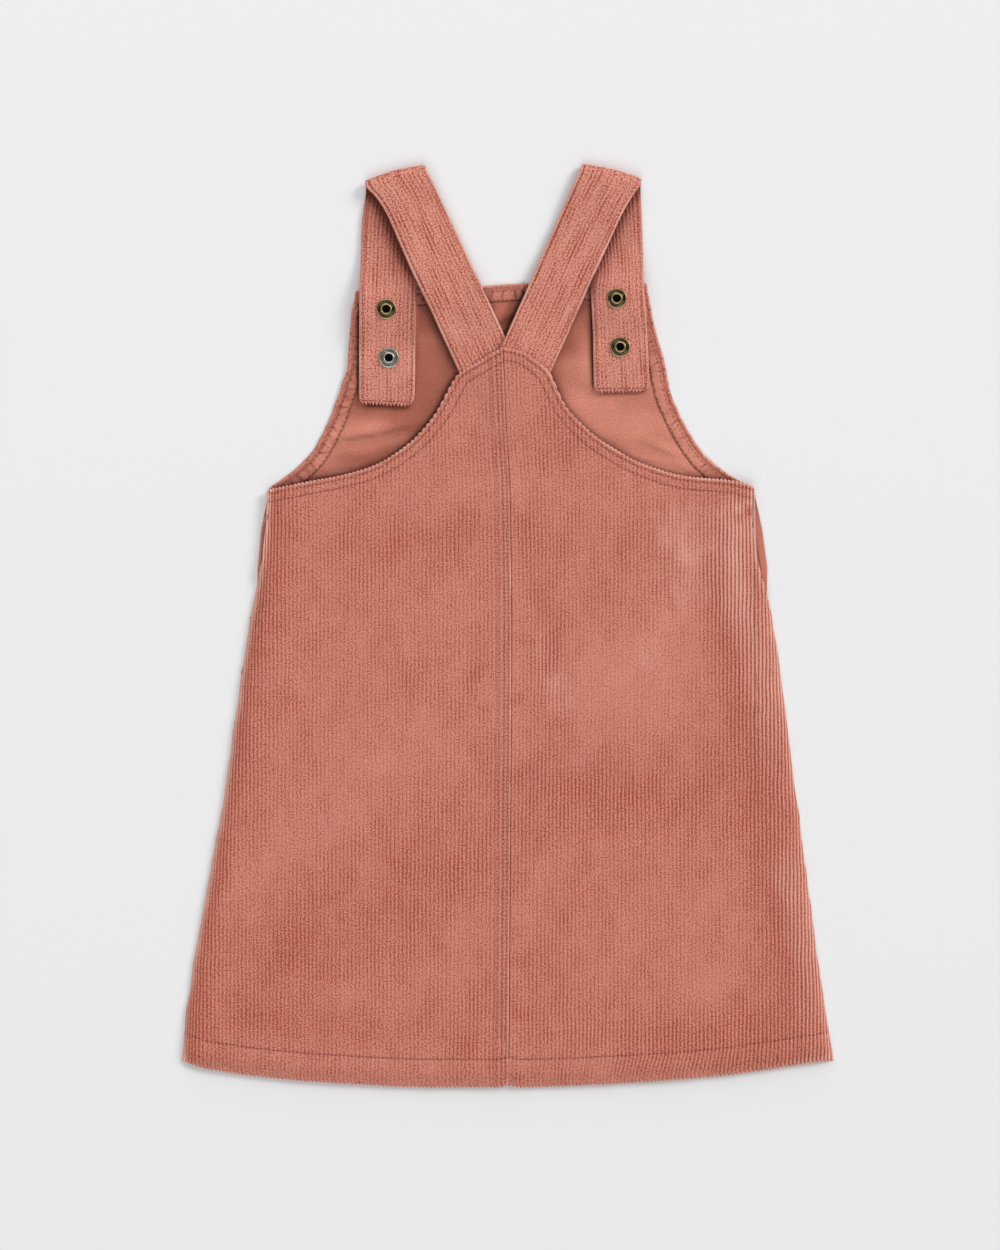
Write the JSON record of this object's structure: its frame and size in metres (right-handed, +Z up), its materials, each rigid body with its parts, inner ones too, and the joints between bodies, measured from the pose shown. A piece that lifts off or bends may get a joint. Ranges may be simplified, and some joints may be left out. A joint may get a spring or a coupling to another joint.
{
  "type": "pinafore dress",
  "caption": "Child's A-line corduroy pinafore dress laid flat, back up, with crossed-in shoulder straps folded over to ring snaps on the bib.",
  "frame": {"origin": "on the surface it lies on, under the middle of the laid dress's box", "axes": "+Y from the hem to the shoulder folds, +X to the right as seen from above, +Z up, away from the surface"},
  "size_m": [0.4097, 0.5801, 0.0123],
  "materials": {
    "corduroy": "ribbed cotton corduroy, dusty terracotta pink",
    "smooth_wrong_side": "smooth twill wrong side, dusty terracotta",
    "antique_brass": "aged brass, satin"
  },
  "bodies": {
    "root": {"front_panel": "corduroy", "back_panel_left": "corduroy", "back_panel_right": "corduroy", "strap_left": "corduroy", "strap_right": "corduroy", "bib_top_facing": "smooth_wrong_side", "front_armhole_facing_left": "smooth_wrong_side", "front_armhole_facing_right": "smooth_wrong_side", "snap_left_upper": "antique_brass", "snap_left_lower": "antique_brass", "snap_right_upper": "antique_brass", "snap_right_lower": "antique_brass", "bib_stud_left": "antique_brass", "bib_stud_right": "antique_brass"}
  },
  "joints": []
}
